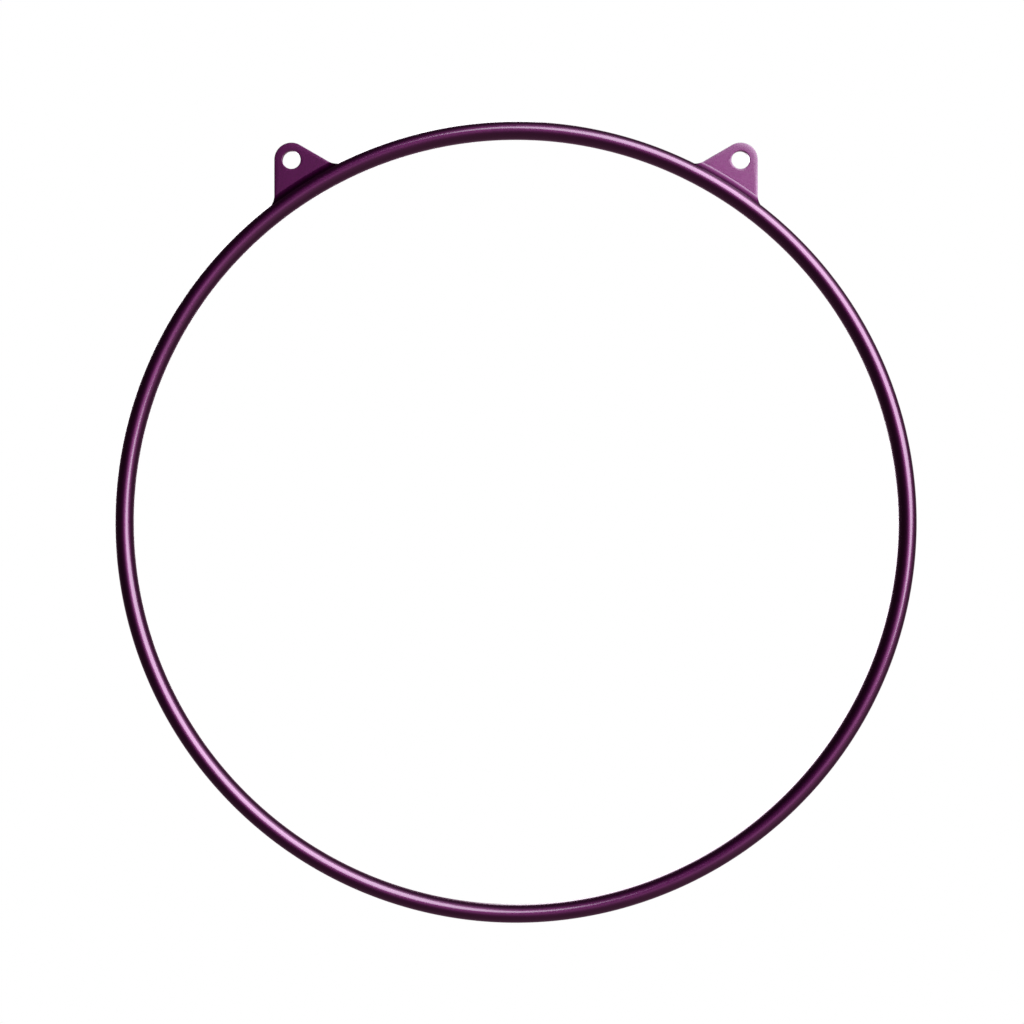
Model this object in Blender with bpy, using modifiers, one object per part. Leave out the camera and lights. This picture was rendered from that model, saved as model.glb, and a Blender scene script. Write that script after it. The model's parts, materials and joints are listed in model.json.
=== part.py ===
"""Aerial hoop (lyra): a rolled steel tube ring with two welded shackle tabs.

The hoop is drawn flat, in the XY plane of one parent empty: local +Y is up, and
local +Z is the front. The empty stands the hoop upright in the XZ plane, with the
front towards -Y. The origin is the hanging point, midway between the tabs' holes.
"""

import math
from collections import namedtuple

import bmesh
import bpy
from mathutils import Vector

# Ring
OUTER_DIAMETER = 1.100
TUBE_DIAMETER = 0.025
TUBE_WALL = 0.0025
JOINT_GAP = 0.003             # root gap of the butt weld that closes the ring
END_LEAD = 0.0015             # short first segment that squares a tube's end
RING_SEGMENTS = 96
TUBE_BEVEL_RESOLUTION = 8     # 20 sides

# Sleeve inside the butt joint
SLEEVE_DIAMETER = 0.019
SLEEVE_WALL = 0.002
SLEEVE_LENGTH = 0.120
SLEEVE_SEGMENTS = 8
SLEEVE_BEVEL_RESOLUTION = 6   # 16 sides

# Tabs
HOLE_SPACING = 0.616          # between the two holes' centres
HOLE_HEIGHT = 0.497           # above the ring's centre
HOLE_DIAMETER = 0.025
BOSS_RADIUS = 0.0235          # round top of a tab, about its hole
PLATE_THICKNESS = 0.008
TAB_TILT = math.radians(30)   # a tab's own axis from upright, leaning outwards
TAB_FLARE = math.radians(30)  # each side of a tab from that axis
EDGE_ROUNDING = 0.0008
BLANK_DEPTH = 0.006           # how far the uncut plate reaches past the ring's crown
BOSS_SEGMENTS = 20
HOLE_SEGMENTS = 32

# Weld preparation and beads
FIT_GAP = 0.0003              # between touching pieces
ROOT_FACE = 0.004             # thickness left at the tab's bevelled base
PREP_HEIGHT = 0.0065
PREP_SEGMENTS = 240
CUT_MARGIN = 0.001            # how far the cutter reaches past the plate's faces
WELD_RISE = 0.0061            # up the tab's faces, above the ring's crown
WELD_END_RISE = 0.0045        # up the tab's sides
WELD_REACH = 0.0037           # out over the tube from the tab's faces
WELD_END_REACH = 0.0033       # out along the ring from the tab's sides
WELD_TOE = 0.0003             # thickness of the bead at its toes
WELD_HOLLOW = 0.35            # 0 is a flat bead, 1 is hollowed into the corner
BEAD_FACE_STEPS = 8
BEAD_CORNER_STEPS = 3
BEAD_PROFILE_STEPS = 3

MERGE_DISTANCE = 0.00001
SHARP_ANGLE = math.radians(35)

RING_RADIUS = (OUTER_DIAMETER - TUBE_DIAMETER) / 2
TUBE_RADIUS = TUBE_DIAMETER / 2
CROWN_RADIUS = OUTER_DIAMETER / 2
BASE_RADIUS = CROWN_RADIUS + FIT_GAP
HALF_PLATE = PLATE_THICKNESS / 2
SIDES = {"left": -1, "right": 1}
FACES = {"front": 1, "back": -1}

PURPLE_COAT = {"base": (0.17, 0.035, 0.13), "metallic": 0.75, "roughness": 0.38}
BARE_STEEL = {"base": (0.36, 0.35, 0.34), "metallic": 1.0, "roughness": 0.45}


def clear_scene():
    for old in list(bpy.data.objects):
        bpy.data.objects.remove(old, do_unlink=True)


def new_collection(name):
    collection = bpy.data.collections.new(name)
    bpy.context.scene.collection.children.link(collection)
    return collection


def new_material(name, finish):
    material = bpy.data.materials.new(name)
    material.use_nodes = True
    shader = material.node_tree.nodes["Principled BSDF"]
    shader.inputs["Base Color"].default_value = (*finish["base"], 1)
    shader.inputs["Metallic"].default_value = finish["metallic"]
    shader.inputs["Roughness"].default_value = finish["roughness"]
    return material


def place(piece, collection, parent, finish):
    """Put a piece in its collection, under the parent, with its own material."""
    collection.objects.link(piece)
    piece.parent = parent
    piece.data.materials.clear()
    piece.data.materials.append(new_material(piece.name, finish))
    return piece


def on_ring(radius, angle, height=0.0):
    """A point at this radius about the ring's centre; the angle is from +Y towards +X."""
    x = radius * math.sin(angle)
    y = radius * math.cos(angle) - HOLE_HEIGHT
    return Vector((x, y, height))


def finished_mesh(shape, name):
    mesh = bpy.data.meshes.new(name)
    shape.to_mesh(mesh)
    shape.free()
    return mesh


def add_spline(curve, points, cyclic):
    spline = curve.splines.new("POLY")
    spline.points.add(len(points) - 1)
    for spline_point, point in zip(spline.points, points):
        spline_point.co = (*point, 1)
    spline.use_cyclic_u = cyclic


# --- Ring ------------------------------------------------------------------------

def hollow_arc(name, angles, diameter, wall, bevel_resolution):
    """A hollow tube, open at both ends, along the ring's centreline."""
    curve = bpy.data.curves.new(name, "CURVE")
    curve.dimensions = "3D"
    curve.twist_mode = "Z_UP"
    curve.bevel_depth = diameter / 2
    curve.bevel_resolution = bevel_resolution
    curve.use_fill_caps = False
    add_spline(curve, [on_ring(RING_RADIUS, angle) for angle in angles], cyclic=False)
    tube = bpy.data.objects.new(name, curve)
    bore = tube.modifiers.new("bore", "SOLIDIFY")
    bore.thickness = wall
    bore.offset = -1
    bore.use_even_offset = True
    return tube


def arc_angles(first, last, segments):
    """Even steps, with a short extra one at each end that squares the tube's ends."""
    lead = END_LEAD / RING_RADIUS
    inner = [first + (last - first) * step / segments for step in range(1, segments)]
    return [first, first + lead, *inner, last - lead, last]


def hoop_tube():
    half_gap = JOINT_GAP / 2 / RING_RADIUS
    angles = arc_angles(half_gap, math.tau - half_gap, RING_SEGMENTS)
    return hollow_arc("hoop_tube", angles, TUBE_DIAMETER, TUBE_WALL, TUBE_BEVEL_RESOLUTION)


def joint_sleeve():
    half = SLEEVE_LENGTH / 2 / RING_RADIUS
    angles = arc_angles(-half, half, SLEEVE_SEGMENTS)
    return hollow_arc("joint_sleeve", angles, SLEEVE_DIAMETER, SLEEVE_WALL,
                      SLEEVE_BEVEL_RESOLUTION)


def joint_weld():
    """The ground-flush butt weld in the ring's root gap, around the sleeve."""
    half = (JOINT_GAP / 2 - FIT_GAP) / RING_RADIUS
    return hollow_arc("joint_weld", [-half, 0, half], TUBE_DIAMETER, TUBE_WALL,
                      TUBE_BEVEL_RESOLUTION)


# --- Tabs ------------------------------------------------------------------------

def hole_centre(side):
    return Vector((side * HOLE_SPACING / 2, 0, 0))


def side_normal(side, flank):
    """Unit normal of a tab's straight side. Flank 1 is the outer side, -1 the inner."""
    angle = TAB_TILT + flank * (math.pi / 2 - TAB_FLARE)
    return Vector((side * math.sin(angle), math.cos(angle), 0))


def side_angle(side, flank, radius, stand_off=0.0):
    """Where a tab's side, moved outwards by stand_off, crosses a circle about the ring."""
    normal = side_normal(side, flank)
    centre = hole_centre(side) - on_ring(0, 0)
    distance = normal.dot(centre) + BOSS_RADIUS + stand_off
    facing = math.atan2(normal.x, normal.y)
    return facing - side * flank * math.acos(distance / radius)


def tab_outline(side):
    """Round top about the hole, two straight sides, and a base that is cut later."""
    centre = hole_centre(side)
    first = TAB_TILT - (math.pi / 2 - TAB_FLARE)
    last = TAB_TILT + (math.pi / 2 - TAB_FLARE)
    points = []
    for step in range(BOSS_SEGMENTS + 1):
        angle = first + (last - first) * step / BOSS_SEGMENTS
        rim = Vector((side * math.sin(angle), math.cos(angle), 0))
        points.append(centre + BOSS_RADIUS * rim)
    depth = CROWN_RADIUS - BLANK_DEPTH
    points.append(on_ring(depth, side_angle(side, 1, depth)))
    points.append(on_ring(depth, side_angle(side, -1, depth)))
    return points


def circle_points(centre, radius, segments):
    turns = [math.tau * step / segments for step in range(segments)]
    return [centre + radius * Vector((math.cos(turn), math.sin(turn), 0)) for turn in turns]


def plate_blank(name, side):
    """The tab's plate with its hole and rounded edges, before its base is cut."""
    curve = bpy.data.curves.new(name, "CURVE")
    curve.dimensions = "2D"
    curve.fill_mode = "BOTH"
    curve.extrude = HALF_PLATE
    add_spline(curve, tab_outline(side), cyclic=True)
    hole = circle_points(hole_centre(side), HOLE_DIAMETER / 2, HOLE_SEGMENTS)
    add_spline(curve, hole, cyclic=True)
    blank = bpy.data.objects.new(name, curve)
    weld = blank.modifiers.new("weld", "WELD")
    weld.merge_threshold = MERGE_DISTANCE
    rounding = blank.modifiers.new("rounding", "BEVEL")
    rounding.width = EDGE_ROUNDING
    rounding.segments = 2
    rounding.limit_method = "ANGLE"
    rounding.angle_limit = SHARP_ANGLE
    return blank


def to_mesh(blank, collection):
    """The evaluated curve as a closed mesh object of the same name."""
    name = blank.name
    collection.objects.link(blank)
    evaluated = blank.evaluated_get(bpy.context.evaluated_depsgraph_get())
    mesh = bpy.data.meshes.new_from_object(evaluated)
    shape = bmesh.new()
    shape.from_mesh(mesh)
    bmesh.ops.remove_doubles(shape, verts=shape.verts, dist=MERGE_DISTANCE)
    bmesh.ops.recalc_face_normals(shape, faces=shape.faces)
    shape.to_mesh(mesh)
    shape.free()
    piece = bpy.data.objects.new(name, mesh)
    piece.matrix_world = blank.matrix_world
    bpy.data.objects.remove(blank, do_unlink=True)
    piece.name = name
    return piece


def weld_prep_cutter(collection, parent):
    """A turned ring that trims the tabs' bases to the tube, bevelled on both faces."""
    slope = PREP_HEIGHT / (HALF_PLATE - ROOT_FACE / 2)
    half_width = HALF_PLATE + CUT_MARGIN
    flare_radius = BASE_RADIUS + slope * (half_width - ROOT_FACE / 2)
    inner_radius = CROWN_RADIUS - TUBE_DIAMETER
    profile = [
        (flare_radius, half_width),
        (BASE_RADIUS, ROOT_FACE / 2),
        (BASE_RADIUS, -ROOT_FACE / 2),
        (flare_radius, -half_width),
        (inner_radius, -half_width),
        (inner_radius, half_width),
    ]
    shape = bmesh.new()
    corners = [shape.verts.new((x, 0, z)) for x, z in profile]
    for corner, following in zip(corners, corners[1:] + corners[:1]):
        shape.edges.new((corner, following))
    name = "weld_prep_cutter"
    cutter = bpy.data.objects.new(name, finished_mesh(shape, name))
    turn = cutter.modifiers.new("turn", "SCREW")
    turn.axis = "Z"
    turn.steps = PREP_SEGMENTS
    turn.render_steps = PREP_SEGMENTS
    turn.use_merge_vertices = True
    turn.merge_threshold = MERGE_DISTANCE
    collection.objects.link(cutter)
    cutter.parent = parent
    cutter.location = on_ring(0, 0)
    cutter.hide_render = True
    cutter.display_type = "WIRE"
    return cutter


def tab(side_name, cutter, scratch):
    plate = to_mesh(plate_blank(side_name + "_tab", SIDES[side_name]), scratch)
    trim = plate.modifiers.new("trim_base", "BOOLEAN")
    trim.object = cutter
    trim.operation = "DIFFERENCE"
    return plate


# --- Tab welds -------------------------------------------------------------------

# One place on the path round half a tab's foot. lean is the outward direction, x along
# the ring and y towards the face; height is the wall's distance from the middle plane;
# share runs from 0 at the tab's inner side to 1 at its outer side, and flank is that side.
Station = namedtuple("Station", "lean height share flank")


def tube_surface(height):
    """Radius about the ring's axis of the tube's outer skin, plus the fit gap."""
    skin = TUBE_RADIUS + FIT_GAP
    return RING_RADIUS + math.sqrt(skin ** 2 - height ** 2)


def bead_stations():
    """From the middle plane at one side of the foot, along a face, to the other side."""
    quarter = [math.pi / 2 * step / BEAD_CORNER_STEPS for step in range(BEAD_CORNER_STEPS + 1)]
    turns = [Vector((math.cos(angle), math.sin(angle))) for angle in quarter]
    sideways = Vector((1, 0))
    facing = Vector((0, 1))
    stations = [Station(sideways, FIT_GAP / 2, 0, -1)]
    stations += [Station(lean, HALF_PLATE, 0, -1) for lean in turns]
    for step in range(1, BEAD_FACE_STEPS):
        stations.append(Station(facing, HALF_PLATE, step / BEAD_FACE_STEPS, 1))
    stations += [Station(lean, HALF_PLATE, 1, 1) for lean in reversed(turns)]
    stations.append(Station(sideways, FIT_GAP / 2, 1, 1))
    return stations


def bead_point(side, station, out, radius):
    """(radius, angle, height) of a point this far out from the tab's wall."""
    stand_off = FIT_GAP + out
    if station.lean.x == 1:
        angle = side_angle(side, station.flank, radius, stand_off)
    else:
        inner = side_angle(side, -1, radius)
        outer = side_angle(side, 1, radius)
        along = side * station.flank * station.lean.x * stand_off
        angle = inner + (outer - inner) * station.share + along / radius
    return Vector((radius, angle, station.height + station.lean.y * stand_off))


def bead_root(side, station):
    """The bead's inner edge, in the groove between the tube and the bevelled base."""
    height = min(station.height, ROOT_FACE / 2) + FIT_GAP * station.lean.y
    root = bead_point(side, station, 0, tube_surface(height) + FIT_GAP)
    root.z = height
    return root


def prep_toe(side, station, radius):
    """The bead's upper edge, a fit gap clear of the tab's bevel."""
    slope = (HALF_PLATE - ROOT_FACE / 2) / PREP_HEIGHT
    toe = bead_point(side, station, 0, radius)
    toe.z = min(toe.z, ROOT_FACE / 2 + slope * (radius - BASE_RADIUS) + FIT_GAP)
    return toe


def hollow_face(upper, lower, corner):
    """Points along the bead's hollow face, from its upper toe to its lower one."""
    pull = ((upper + lower) / 2).lerp(corner, WELD_HOLLOW)
    points = []
    for step in range(1, BEAD_PROFILE_STEPS + 1):
        t = step / (BEAD_PROFILE_STEPS + 1)
        points.append((1 - t) ** 2 * upper + 2 * t * (1 - t) * pull + t ** 2 * lower)
    return points


def bead_section(side, station):
    """The bead's cross-section as a ring of (radius, angle, height) points."""
    sideways = station.lean.x ** 2
    rise = WELD_RISE + (WELD_END_RISE - WELD_RISE) * sideways
    reach = WELD_REACH + (WELD_END_REACH - WELD_REACH) * sideways
    top = CROWN_RADIUS + rise
    low_height = bead_point(side, station, reach, CROWN_RADIUS).z
    skin = tube_surface(low_height)

    root = bead_root(side, station)
    upper = bead_point(side, station, WELD_TOE, top)
    lower = bead_point(side, station, reach, skin + WELD_TOE)
    lower_inner = bead_point(side, station, reach, skin)
    corner = bead_point(side, station, WELD_TOE, tube_surface(station.height))
    under = (lower_inner + root) / 2
    under.x = tube_surface(under.z)
    face = hollow_face(upper, lower, corner)
    return [root, prep_toe(side, station, top), upper, *face, lower, lower_inner, under]


def tab_weld(side_name, face_name):
    """A fillet bead round one face of a tab's foot, lofted between its sections."""
    shape = bmesh.new()
    rings = []
    for station in bead_stations():
        section = bead_section(SIDES[side_name], station)
        places = [on_ring(p.x, p.y, FACES[face_name] * p.z) for p in section]
        rings.append([shape.verts.new(place) for place in places])
    count = len(rings[0])
    for ring, following in zip(rings, rings[1:]):
        for index in range(count):
            after = (index + 1) % count
            shape.faces.new((ring[index], ring[after], following[after], following[index]))
    shape.faces.new(rings[0])
    shape.faces.new(rings[-1])
    bmesh.ops.recalc_face_normals(shape, faces=shape.faces)
    name = f"{side_name}_tab_{face_name}_weld"
    return bpy.data.objects.new(name, finished_mesh(shape, name))


# --- Assembly --------------------------------------------------------------------

def shade(piece):
    if piece.type == "MESH":
        piece.data.shade_smooth()
        piece.data.set_sharp_from_angle(angle=SHARP_ANGLE)


def main():
    clear_scene()
    parts = new_collection("aerial_hoop")
    cutters = new_collection("cutters")

    hanging_point = bpy.data.objects.new("hanging_point", None)
    hanging_point.rotation_euler = (math.pi / 2, 0, 0)
    parts.objects.link(hanging_point)

    cutter = weld_prep_cutter(cutters, hanging_point)
    coated = [hoop_tube(), joint_weld()]
    for side_name in SIDES:
        coated.append(tab(side_name, cutter, cutters))
        for face_name in FACES:
            coated.append(tab_weld(side_name, face_name))
    for piece in coated:
        place(piece, parts, hanging_point, PURPLE_COAT)
        shade(piece)
    place(joint_sleeve(), parts, hanging_point, BARE_STEEL)


main()
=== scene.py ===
"""Looks of the aerial hoop: fine meshes, powder coat, floor, studio light and camera.

The ring lies in the XZ plane. Its front faces -Y, and the origin is midway between the
centres of the two tabs' holes. A place on the hoop is given about the ring's axis: a
radius, an angle from straight up towards +X, and how far forward of the middle plane.
"""

import json
import math
from collections import namedtuple

import bmesh
import bpy
from mathutils import Matrix, Vector, noise


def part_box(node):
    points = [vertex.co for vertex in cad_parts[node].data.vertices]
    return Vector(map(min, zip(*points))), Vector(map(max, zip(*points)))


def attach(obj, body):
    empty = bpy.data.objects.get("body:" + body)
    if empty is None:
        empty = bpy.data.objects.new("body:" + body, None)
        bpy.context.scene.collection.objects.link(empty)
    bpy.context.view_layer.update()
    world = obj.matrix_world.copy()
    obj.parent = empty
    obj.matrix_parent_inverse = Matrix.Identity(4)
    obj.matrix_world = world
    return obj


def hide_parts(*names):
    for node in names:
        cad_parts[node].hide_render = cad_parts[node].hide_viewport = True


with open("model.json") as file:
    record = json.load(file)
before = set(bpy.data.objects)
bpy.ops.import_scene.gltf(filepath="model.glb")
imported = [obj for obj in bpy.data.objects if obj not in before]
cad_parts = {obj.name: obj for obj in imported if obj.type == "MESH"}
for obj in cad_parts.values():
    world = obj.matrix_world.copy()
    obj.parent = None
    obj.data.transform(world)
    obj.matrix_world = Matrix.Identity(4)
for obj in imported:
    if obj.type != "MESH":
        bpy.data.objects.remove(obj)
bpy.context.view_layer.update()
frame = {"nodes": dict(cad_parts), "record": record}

# Sizes that the frame gives
ring_low, ring_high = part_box("hoop_tube")
tab_low, tab_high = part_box("right_tab")
OUTER_RADIUS = (ring_high.x - ring_low.x) / 2
TUBE_RADIUS = (ring_high.y - ring_low.y) / 2
RING_RADIUS = OUTER_RADIUS - TUBE_RADIUS
RING_CENTRE = Vector((0, 0, ring_low.z + OUTER_RADIUS))
HALF_PLATE = (tab_high.y - tab_low.y) / 2
OPENINGS = {opening["name"]: opening for opening in frame["record"]["physics"]["openings"]}

# Tube
TUBE_WALL = 0.0025
TUBE_STEPS = 600              # along the ring
TUBE_SIDES = 64
JOINT_HALF_GAP = 0.0015       # half the root gap of the butt joint at the top of the ring
JOINT_STEPS = 12
JOINT_CROWN = 0.00001         # what grinding and coating leave of the butt weld

# Tabs
HOLE_RADIUS = 0.0125
TAB_TILT = math.radians(30)   # a tab's own axis from upright, leaning outwards
TAB_FLARE = math.radians(30)  # each side of a tab from that axis
RIM_ROUNDING = 0.0004         # where the faces turn into the outline
HOLE_ROUNDING = 0.0004
EDGE_STEPS = 6
FACE_CROWN = 0.00015          # how far the coated face falls away towards its rim
CROWN_WIDTH = 0.0070
FACE_STEPS = 10
TAB_SPOKES = 288

# Tab welds
WELD_RISE = 0.0061            # up the tab's faces, above the ring's crown
WELD_END_RISE = 0.0045        # up the tab's sides
WELD_REACH = 0.0040           # out over the tube from the tab's faces
WELD_END_REACH = 0.0036       # out along the ring from the tab's sides
WELD_HOLLOW = 0.35            # 0 is a flat bead, 1 is hollowed into the corner
WELD_FUSION = 0.0004          # how far a bead's edges lie inside the plate and the tube
WELD_WANDER = 0.00025         # how much a hand-laid bead's edges wander
WANDER_LENGTH = 0.009
RIPPLE_LENGTH = 0.0021
RIPPLE_HEIGHT = 0.00006
BEAD_END_STEPS = 8
BEAD_CORNER_STEPS = 12
BEAD_FACE_STEPS = 120
BEAD_PROFILE_STEPS = 18

SHARP_ANGLE = math.radians(35)
SIDES = {"left": -1, "right": 1}
FACES = {"front": 1, "back": -1}

# Camera: straight in front of the ring
CAMERA_DISTANCE = 2.5
CAMERA_OFFSET = Vector((-0.0055, 0, 0.0139))
CAMERA_LENS = 64.0
SENSOR_WIDTH = 36.0

# Floor
FLOOR_DROP = 0.50             # below the ring
FLOOR_RADIUS = 1.20
FLOOR_SEGMENTS = 128


def about_ring(radius, angle, forward=0.0):
    flat = Vector((radius * math.sin(angle), -forward, radius * math.cos(angle)))
    return RING_CENTRE + flat


# --- Meshes ----------------------------------------------------------------------

def loft(name, loops, closed_along):
    """A mesh through loops of points, each loop closed, all with the same count."""
    shape = bmesh.new()
    rows = [[shape.verts.new(point) for point in loop] for loop in loops]
    pairs = list(zip(rows, rows[1:]))
    if closed_along:
        pairs.append((rows[-1], rows[0]))
    else:
        shape.faces.new(rows[0])
        shape.faces.new(rows[-1])
    count = len(rows[0])
    for row, following in pairs:
        for index in range(count):
            after = (index + 1) % count
            shape.faces.new((row[index], row[after], following[after], following[index]))
    bmesh.ops.recalc_face_normals(shape, faces=shape.faces)
    mesh = bpy.data.meshes.new(name)
    shape.to_mesh(mesh)
    shape.free()
    mesh.shade_smooth()
    mesh.set_sharp_from_angle(angle=SHARP_ANGLE)
    piece = bpy.data.objects.new(name, mesh)
    bpy.context.scene.collection.objects.link(piece)
    return piece


def tube_loop(angle, radius):
    """A circle round the tube's centreline at this angle about the ring."""
    turns = [math.tau * side / TUBE_SIDES for side in range(TUBE_SIDES)]
    return [about_ring(RING_RADIUS + radius * math.cos(turn), angle, radius * math.sin(turn))
            for turn in turns]


def spread(first, last, steps):
    return [first + (last - first) * step / steps for step in range(steps + 1)]


def hollow_tube(name, angles, skin, bore):
    """A tube along the ring, open at both ends. skin gives its outer radius at an angle."""
    outside = [tube_loop(angle, skin(angle)) for angle in angles]
    inside = [tube_loop(angle, bore) for angle in reversed(angles)]
    return loft(name, outside + inside, closed_along=True)


def hoop_tube():
    half = JOINT_HALF_GAP / RING_RADIUS
    angles = spread(half, math.tau - half, TUBE_STEPS)
    return hollow_tube("rolled_tube", angles, lambda angle: TUBE_RADIUS,
                       TUBE_RADIUS - TUBE_WALL)


def joint_weld():
    """The butt weld, ground flush: a faint crown is left between the tube's ends."""
    half = JOINT_HALF_GAP / RING_RADIUS

    def skin(angle):
        return TUBE_RADIUS + JOINT_CROWN * (1 - (angle / half) ** 2) ** 2

    return hollow_tube("closing_weld", spread(-half, half, JOINT_STEPS), skin,
                       TUBE_RADIUS - TUBE_WALL)


# --- Tabs ------------------------------------------------------------------------

def hole_centre(side_name):
    low, high = OPENINGS[side_name + "_tab_hole"]["box_m"]
    return (Vector(low) + Vector(high)) / 2


BOSS_RADIUS = tab_high.x - hole_centre("right").x
TAB_AXIS = {"outer": TAB_TILT + math.pi / 2 - TAB_FLARE,
            "inner": TAB_TILT - math.pi / 2 + TAB_FLARE}


def rim_distance(turn, inset):
    """From the right tab's hole centre to its outline, moved in by inset, at this turn.

    The turn is from straight up towards +X.
    """
    boss = BOSS_RADIUS - inset
    if TAB_AXIS["inner"] <= turn <= TAB_AXIS["outer"]:
        return boss
    reaches = []
    for facing in TAB_AXIS.values():
        slant = math.cos(turn - facing)
        if slant > 0:
            reaches.append(boss / slant)
    centre = hole_centre("right") - RING_CENTRE
    ray = Vector((math.sin(turn), 0, math.cos(turn)))
    towards = ray.dot(centre)
    inside = towards ** 2 - centre.length_squared + (OUTER_RADIUS + inset) ** 2
    if inside > 0 and towards < 0:
        reaches.append(-towards - math.sqrt(inside))
    return min(reaches)


def rounded_edge(rounding):
    """(inset, forward) from the plate's edge to its front face."""
    core = HALF_PLATE - rounding
    return [(rounding * (1 - math.cos(turn)), core + rounding * math.sin(turn))
            for turn in spread(0, math.pi / 2, EDGE_STEPS)]


def plate_section():
    """The plate's section from its rim to its hole: (share of the way out, inset, forward)."""
    front = [(1, inset, forward) for inset, forward in rounded_edge(RIM_ROUNDING)]
    for share in spread(1, 0, FACE_STEPS)[1:-1]:
        inset = HOLE_ROUNDING + (RIM_ROUNDING - HOLE_ROUNDING) * share
        front.append((share, inset, HALF_PLATE))
    front += [(0, inset, forward) for inset, forward in reversed(rounded_edge(HOLE_ROUNDING))]
    back = [(share, inset, -forward) for share, inset, forward in reversed(front)]
    return front + back


def tab(side_name):
    """The plate, lofted round its hole from spokes that run out to its rim."""
    side = SIDES[side_name]
    centre = hole_centre(side_name)
    section = plate_section()
    loops = []
    for spoke in range(TAB_SPOKES):
        turn = TAB_TILT - math.pi + math.tau * spoke / TAB_SPOKES
        loop = []
        for share, inset, forward in section:
            hole = HOLE_RADIUS + inset
            rim = rim_distance(turn, inset)
            reach = hole + (rim - hole) * share
            fall = max(0.0, 1 - (rim - reach) / CROWN_WIDTH) ** 2 * FACE_CROWN
            height = forward * (1 - fall / HALF_PLATE)
            out = Vector((side * math.sin(turn), 0, math.cos(turn))) * reach
            loop.append(centre + out + Vector((0, -height, 0)))
        loops.append(loop)
    return loft(side_name + "_plate", loops, closed_along=True)


# --- Tab welds -------------------------------------------------------------------

# One place on the path round half a tab's foot. lean is the outward direction, x along
# the ring and y towards the face; forward is the wall's distance from the middle plane;
# share runs from 0 at the tab's inner side to 1 at its outer side, and flank is that side.
Station = namedtuple("Station", "lean forward share flank")


def side_angle(side, flank, radius, stand_off=0.0):
    """Where a tab's side, moved out by stand_off, crosses a circle about the ring."""
    facing = TAB_AXIS["outer" if flank > 0 else "inner"]
    normal = Vector((math.sin(facing), 0, math.cos(facing)))
    distance = normal.dot(hole_centre("right") - RING_CENTRE) + BOSS_RADIUS + stand_off
    return side * (facing - flank * math.acos(distance / radius))


def bead_stations():
    """From the middle plane at one side of the foot, along a face, to the other side."""
    quarter = spread(0, math.pi / 2, BEAD_CORNER_STEPS)
    turns = [Vector((math.cos(angle), math.sin(angle))) for angle in quarter]
    edge = spread(0, HALF_PLATE, BEAD_END_STEPS)[:-1]
    inner = [Station(turns[0], forward, 0, -1) for forward in edge]
    inner += [Station(lean, HALF_PLATE, 0, -1) for lean in turns]
    face = [Station(turns[-1], HALF_PLATE, share, 1)
            for share in spread(0, 1, BEAD_FACE_STEPS)[1:-1]]
    outer = [station._replace(share=1, flank=1) for station in reversed(inner)]
    return inner + face + outer


def bead_point(side, station, out, radius):
    """(radius, angle, forward) of a point this far out from the tab's wall."""
    if station.share in (0, 1):
        angle = side_angle(side, station.flank, radius, out * station.lean.x)
    else:
        inner = side_angle(side, -1, radius)
        outer = side_angle(side, 1, radius)
        angle = inner + (outer - inner) * station.share
    return Vector((radius, angle, station.forward + station.lean.y * out))


def tube_surface(forward):
    """Radius about the ring's axis of the tube's outer skin."""
    return RING_RADIUS + math.sqrt(TUBE_RADIUS ** 2 - forward ** 2)


def bead_section(side, station, along):
    """The bead's section as (radius, angle, forward) points: its face, then its root."""
    sideways = station.lean.x ** 2
    rise = WELD_RISE + (WELD_END_RISE - WELD_RISE) * sideways
    reach = WELD_REACH + (WELD_END_REACH - WELD_REACH) * sideways
    rise += WELD_WANDER * noise.noise(Vector((along / WANDER_LENGTH, side, 0)))
    reach += WELD_WANDER * noise.noise(Vector((along / WANDER_LENGTH, side, 5)))
    low_skin = tube_surface(station.forward + station.lean.y * reach)
    corner_skin = tube_surface(station.forward)
    upper = Vector((0, OUTER_RADIUS + rise))
    lower = Vector((reach, low_skin))
    corner = Vector((0, corner_skin))
    pull = ((upper + lower) / 2).lerp(corner, WELD_HOLLOW)
    face = []
    for t in spread(0, 1, BEAD_PROFILE_STEPS):
        place = (1 - t) ** 2 * upper + 2 * t * (1 - t) * pull + t ** 2 * lower
        slope = ((pull - upper) * (1 - t) + (lower - pull) * t).normalized()
        crescent = along / RIPPLE_LENGTH - 2 * t * (1 - t)
        ripple = RIPPLE_HEIGHT * math.cos(math.tau * crescent) * 4 * t * (1 - t)
        face.append(place + Vector((-slope.y, slope.x)) * ripple)
    root = [
        lower - Vector((0, WELD_FUSION)),
        Vector((-WELD_FUSION, corner_skin - WELD_FUSION)),
        upper - Vector((WELD_FUSION, 0)),
    ]
    return [bead_point(side, station, out, radius) for out, radius in face + root]


def tab_weld(side_name, face_name):
    """A fillet bead round one face of a tab's foot, lofted between its sections."""
    side = SIDES[side_name]
    loops = []
    along = 0.0
    previous = None
    for station in bead_stations():
        middle = about_ring(*bead_point(side, station, WELD_REACH / 2, OUTER_RADIUS))
        if previous is not None:
            along += (middle - previous).length
        previous = middle
        section = bead_section(side, station, along)
        loops.append([about_ring(p.x, p.y, FACES[face_name] * p.z) for p in section])
    return loft(f"{side_name}_{face_name}_bead", loops, closed_along=False)


# --- Materials -------------------------------------------------------------------

def new_material(name):
    """A new material, its node tree and its Principled shader."""
    material = bpy.data.materials.new(name)
    material.use_nodes = True
    tree = material.node_tree
    return material, tree, tree.nodes["Principled BSDF"]


def add_node(tree, kind, **settings):
    node = tree.nodes.new("ShaderNode" + kind)
    for name, value in settings.items():
        setattr(node, name, value)
    return node


def feed(tree, node, **inputs):
    """Set or link a node's inputs, given by name with spaces as underscores."""
    for name, value in inputs.items():
        socket = node.inputs[name.replace("_", " ")]
        if isinstance(value, bpy.types.NodeSocket):
            tree.links.new(value, socket)
        else:
            socket.default_value = value
    return node


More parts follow.
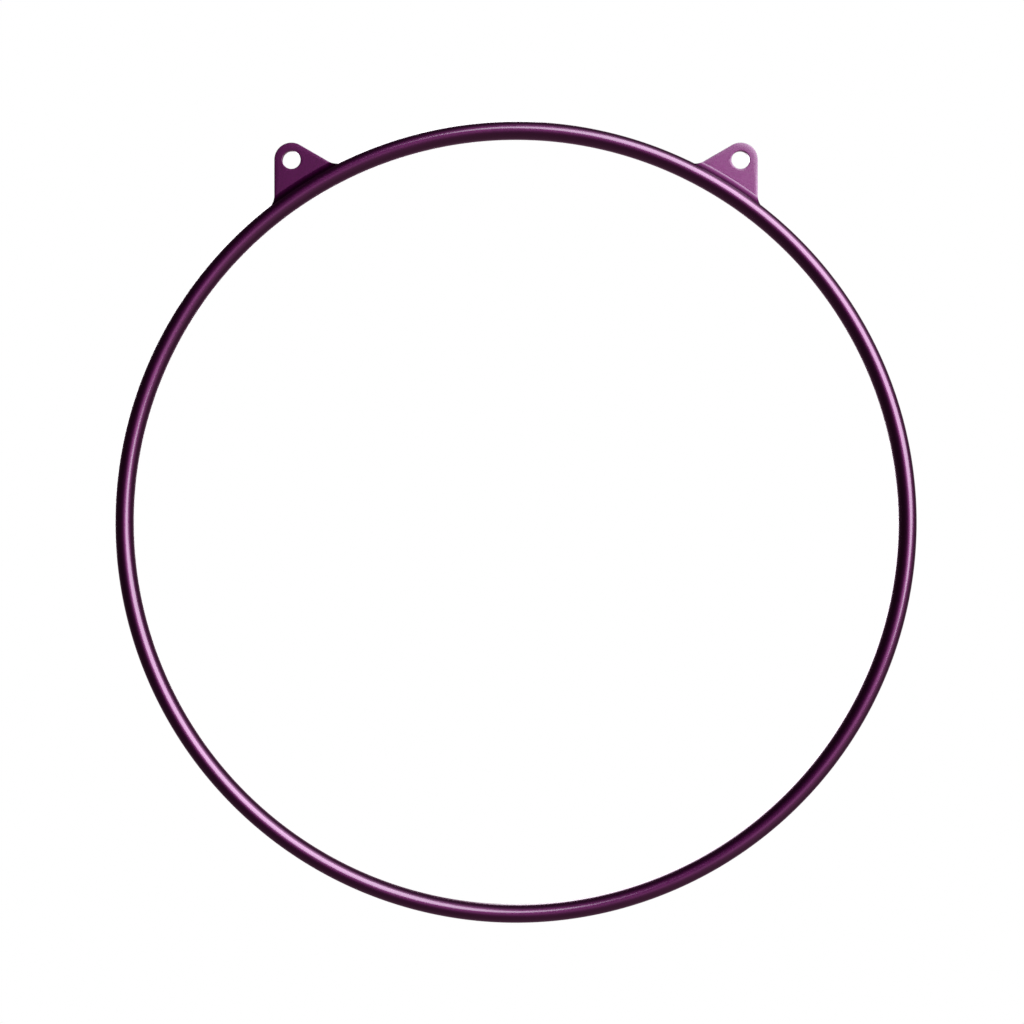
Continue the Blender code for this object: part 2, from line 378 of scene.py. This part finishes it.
def object_coordinates(tree):
    return add_node(tree, "TexCoord").outputs["Object"]


def noise_texture(tree, size, detail=2.0):
    """Noise over the object's own coordinates, with features about this size in metres."""
    texture = add_node(tree, "TexNoise")
    feed(tree, texture, Vector=object_coordinates(tree), Scale=1 / size, Detail=detail,
         Roughness=0.5)
    return texture.outputs["Factor" if "Factor" in texture.outputs else "Fac"]


def cell_texture(tree, size):
    """A random colour for each cell of about this size in metres."""
    texture = add_node(tree, "TexVoronoi")
    feed(tree, texture, Vector=object_coordinates(tree), Scale=1 / size)
    return texture.outputs["Color"]


def map_range(tree, value, low, high, first=0.3, last=0.7):
    """From low to high as the value runs from first to last, which suit a noise texture."""
    node = add_node(tree, "MapRange")
    feed(tree, node, Value=value, From_Min=first, From_Max=last, To_Min=low, To_Max=high)
    return node.outputs["Result"]


def bump(tree, height, distance, normal=None):
    node = add_node(tree, "Bump")
    feed(tree, node, Height=height, Distance=distance, Strength=1.0)
    if normal is not None:
        feed(tree, node, Normal=normal)
    return node.outputs["Normal"]


def tinted(tree, colour, factor):
    """The colour times a factor that varies over the surface."""
    node = add_node(tree, "VectorMath", operation="SCALE")
    feed(tree, node, Vector=colour, Scale=factor)
    return node.outputs["Vector"]


def multiplied(tree, first, second):
    node = add_node(tree, "Math", operation="MULTIPLY")
    tree.links.new(first, node.inputs[0])
    tree.links.new(second, node.inputs[1])
    return node.outputs["Value"]


COAT_COLOUR = (0.1055, 0.0015, 0.0742)
COAT_METALLIC = 1.0
COAT_ROUGHNESS = 0.365
CLEAR_ROUGHNESS = 0.18
CLEAR_WEIGHT = 1.0
CLEAR_IOR = 1.8
ROUGHNESS_SPREAD = 0.03
FLAKE_SIZE = 0.00035
FLAKE_DEPTH = 0.000004
FLAKE_SHADE = (0.92, 1.08)
PEEL_SIZE = 0.0022
PEEL_DEPTH = 0.00002
DRIFT_SIZE = 0.05
DRIFT_SHADE = (0.94, 1.06)

# The coat on the beads. A pair holds at the tube's crown and at a bead's top edge.
# The beads' colour is darkened as painted shade, most in the corner between tube and tab.
PAINTED_CORNER_SHADE = (0.32, 0.74)
CORNER_ROUGHNESS = 0.42
CORNER_CLEAR = (0.08, 0.80)
CORNER_CLEAR_FROM = 0.50      # share of a bead's height where the clear coat starts to thicken

STEEL_COLOUR = (0.36, 0.35, 0.34)
STEEL_ROUGHNESS = (0.38, 0.55)
STEEL_SHADE = (0.8, 1.1)
CLOUD_SIZE = 0.012
GRAIN_SIZE = 0.0006
GRAIN_DEPTH = 0.00001

FLOOR_COLOUR = (0.86, 0.80, 0.785)
FLOOR_ROUGHNESS = (0.6, 0.7)
FLOOR_SHADE = (0.99, 1.01)
FLOOR_CLOUD_SIZE = 0.6
FLOOR_EMISSION = 0.14


def out_of_corner(tree, low, high, share):
    """Runs from low to high, from this share of the beads' height to their top edges."""
    place = add_node(tree, "VectorMath", operation="DISTANCE")
    tree.links.new(object_coordinates(tree), place.inputs[0])
    place.inputs[1].default_value = RING_CENTRE
    return map_range(tree, place.outputs["Value"], low, high,
                     OUTER_RADIUS + share * WELD_RISE, OUTER_RADIUS + WELD_RISE)


def powder_coat(name, in_corner=False):
    """Metallic powder coat: flakes under a clear skin with a fine orange peel.

    On a bead the colour is darkened as painted shade, most towards the corner between tube and
    tab, and the coat is rougher with less clear coat low down.
    """
    material, tree, shader = new_material(name)
    drift = noise_texture(tree, DRIFT_SIZE)
    peel = noise_texture(tree, PEEL_SIZE, detail=3.0)
    flakes = cell_texture(tree, FLAKE_SIZE)
    flake_tone = add_node(tree, "SeparateColor")
    feed(tree, flake_tone, Color=flakes)

    shade = multiplied(tree, map_range(tree, drift, *DRIFT_SHADE),
                       map_range(tree, flake_tone.outputs["Red"], *FLAKE_SHADE, 0, 1))
    roughness = COAT_ROUGHNESS
    clear = CLEAR_WEIGHT
    if in_corner:
        # Painted shade: the colour darkens down the bead towards the corner between tube and
        # tab.
        shade = multiplied(tree, shade, out_of_corner(tree, *PAINTED_CORNER_SHADE, 0))
        roughness = CORNER_ROUGHNESS
        clear = out_of_corner(tree, *CORNER_CLEAR, CORNER_CLEAR_FROM)
    skin = bump(tree, peel, PEEL_DEPTH)
    flecked = bump(tree, flake_tone.outputs["Green"], FLAKE_DEPTH, normal=skin)
    feed(tree, shader,
         Base_Color=tinted(tree, COAT_COLOUR, shade),
         Metallic=COAT_METALLIC,
         Roughness=map_range(tree, peel, roughness - ROUGHNESS_SPREAD,
                             roughness + ROUGHNESS_SPREAD),
         Normal=flecked,
         Coat_Weight=clear,
         Coat_Roughness=CLEAR_ROUGHNESS,
         Coat_IOR=CLEAR_IOR,
         Coat_Normal=skin)
    return material


def bare_steel(name):
    """Mill-finished tube: dull grey with a cloudy tone and a fine grain."""
    material, tree, shader = new_material(name)
    cloud = noise_texture(tree, CLOUD_SIZE, detail=4.0)
    grain = noise_texture(tree, GRAIN_SIZE)
    feed(tree, shader,
         Base_Color=tinted(tree, STEEL_COLOUR, map_range(tree, cloud, *STEEL_SHADE)),
         Metallic=1.0,
         Roughness=map_range(tree, grain, *STEEL_ROUGHNESS),
         Normal=bump(tree, grain, GRAIN_DEPTH))
    return material


def floor_paint(name):
    """Pale matt floor with a faint unevenness."""
    material, tree, shader = new_material(name)
    cloud = noise_texture(tree, FLOOR_CLOUD_SIZE)
    feed(tree, shader,
         Base_Color=tinted(tree, FLOOR_COLOUR, map_range(tree, cloud, *FLOOR_SHADE)),
         Roughness=map_range(tree, cloud, *FLOOR_ROUGHNESS),
         Emission_Color=(1, 1, 1, 1),
         Emission_Strength=FLOOR_EMISSION)
    return material


# --- Assembly --------------------------------------------------------------------

def finish_piece(piece, material, slot, *nodes):
    """Paint a piece, hang it on the root body and let it stand for its CAD nodes."""
    piece.data.materials.clear()
    piece.data.materials.append(material)
    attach(piece, "root")
    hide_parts(*nodes)


def build_hoop():
    finish_piece(hoop_tube(), powder_coat("tube_coat"), "powder_coat", "hoop_tube")
    finish_piece(joint_weld(), powder_coat("joint_coat"), "powder_coat", "joint_weld")
    for side_name in SIDES:
        node = side_name + "_tab"
        finish_piece(tab(side_name), powder_coat(node + "_coat"), "powder_coat", node)
        for face_name in FACES:
            node = f"{side_name}_tab_{face_name}_weld"
            bead = tab_weld(side_name, face_name)
            finish_piece(bead, powder_coat(node + "_coat", in_corner=True), "powder_coat", node)


def finish_sleeve():
    """The sleeve keeps its CAD mesh and gets bare steel."""
    sleeve = frame["nodes"]["joint_sleeve"]
    sleeve.data.materials.clear()
    sleeve.data.materials.append(bare_steel("sleeve_steel"))


def add_floor():
    shape = bmesh.new()
    bmesh.ops.create_circle(shape, cap_ends=True, segments=FLOOR_SEGMENTS,
                            radius=FLOOR_RADIUS)
    mesh = bpy.data.meshes.new("floor")
    shape.to_mesh(mesh)
    shape.free()
    floor = bpy.data.objects.new("floor", mesh)
    floor.location = (0, 0, ring_low.z - FLOOR_DROP)
    mesh.materials.append(floor_paint("floor_paint"))
    floor.visible_glossy = False
    bpy.context.scene.collection.objects.link(floor)


def add_camera():
    data = bpy.data.cameras.new("camera")
    data.lens = CAMERA_LENS
    data.sensor_width = SENSOR_WIDTH
    camera = bpy.data.objects.new("camera", data)
    camera.location = RING_CENTRE + CAMERA_OFFSET + Vector((0, -CAMERA_DISTANCE, 0))
    camera.rotation_euler = (math.pi / 2, 0, 0)
    bpy.context.scene.collection.objects.link(camera)
    bpy.context.scene.camera = camera


def towards(azimuth, elevation):
    """Unit direction: azimuth from straight in front towards +X, elevation upwards."""
    level = math.cos(math.radians(elevation))
    turn = math.radians(azimuth)
    return Vector((math.sin(turn) * level, -math.cos(turn) * level,
                   math.sin(math.radians(elevation))))


# Azimuth, elevation, the angles that the box spans from the hoop, and its roll are in
# degrees. Glow is radiance, where 1 shows as white.
SoftBox = namedtuple("SoftBox", "name azimuth elevation width height roll glow colour")
SOFT_BOXES = [
    SoftBox("key", 32.1, 23.7, 45.1, 62.2, 37.2, 4.42, (0.99, 1.13, 1.12)),
    SoftBox("back", 195, 20, 30, 44, 0, 3.0, (1, 1.05, 1.05)),
]
SOFT_BOX_REACH = 40.0         # far enough that every part of the ring sees them alike

# Broad soft glows of the room. A larger sharpness is a smaller glow.
Glow = namedtuple("Glow", "azimuth elevation sharpness strength colour")
ROOM_GLOWS = [
    Glow(0, -90, 2.0, 0.155, (1, 0.56, 0.80)),
    Glow(49, 41, 13.1, 2.31, (1, 1.01, 1.07)),
    Glow(176, -1, 2.6, 0.324, (1, 0.60, 0.83)),
    Glow(18, 1, 30.7, 1.36, (1, 0.53, 0.96)),
    Glow(47, -13, 5.9, 0.349, (1, 0.7, 0.85)),
]
AMBIENT = (0.001, 0.001, 0.001)


def add_soft_box(box):
    direction = towards(box.azimuth, box.elevation)
    data = bpy.data.lights.new(box.name, "AREA")
    data.shape = "RECTANGLE"
    data.size = 2 * SOFT_BOX_REACH * math.tan(math.radians(box.width / 2))
    data.size_y = 2 * SOFT_BOX_REACH * math.tan(math.radians(box.height / 2))
    data.color = box.colour
    data.energy = math.pi * data.size * data.size_y * box.glow
    lamp = bpy.data.objects.new(box.name, data)
    turn = direction.to_track_quat("Z", "Y").to_matrix().to_4x4()
    roll = Matrix.Rotation(math.radians(box.roll), 4, "Z")
    lamp.matrix_world = turn @ roll
    lamp.location = RING_CENTRE + direction * SOFT_BOX_REACH
    lamp.visible_camera = False
    bpy.context.scene.collection.objects.link(lamp)


def room_glow(tree, direction, glow):
    """The glow's colour towards each direction: strength * exp(sharpness * (cosine - 1))."""
    cosine = add_node(tree, "VectorMath", operation="DOT_PRODUCT")
    tree.links.new(direction, cosine.inputs[0])
    cosine.inputs[1].default_value = towards(glow.azimuth, glow.elevation)
    slope = add_node(tree, "Math", operation="MULTIPLY_ADD")
    tree.links.new(cosine.outputs["Value"], slope.inputs[0])
    slope.inputs[1].default_value = glow.sharpness
    slope.inputs[2].default_value = math.log(glow.strength) - glow.sharpness
    fall = add_node(tree, "Math", operation="EXPONENT")
    tree.links.new(slope.outputs["Value"], fall.inputs[0])
    return tinted(tree, glow.colour, fall.outputs["Value"])


def add_world():
    """A white studio behind the hoop for the camera, and a dim room for the reflections."""
    world = bpy.data.worlds.new("studio")
    world.use_nodes = True
    tree = world.node_tree
    direction = add_node(tree, "TexCoord").outputs["Generated"]
    light = None
    for glow in ROOM_GLOWS:
        more = room_glow(tree, direction, glow)
        total = add_node(tree, "VectorMath", operation="ADD")
        tree.links.new(more, total.inputs[0])
        total.inputs[1].default_value = AMBIENT
        if light is not None:
            tree.links.new(light, total.inputs[1])
        light = total.outputs["Vector"]
    room = feed(tree, tree.nodes["Background"], Color=light)
    backdrop = feed(tree, add_node(tree, "Background"), Color=(1, 1, 1, 1))
    path = add_node(tree, "LightPath")
    mix = add_node(tree, "MixShader")
    tree.links.new(path.outputs["Is Camera Ray"], mix.inputs["Fac"])
    tree.links.new(room.outputs["Background"], mix.inputs[1])
    tree.links.new(backdrop.outputs["Background"], mix.inputs[2])
    tree.links.new(mix.outputs["Shader"], tree.nodes["World Output"].inputs["Surface"])
    bpy.context.scene.world = world


build_hoop()
finish_sleeve()
add_floor()
add_camera()
for soft_box in SOFT_BOXES:
    add_soft_box(soft_box)
add_world()
bpy.context.scene.view_settings.view_transform = "Standard"
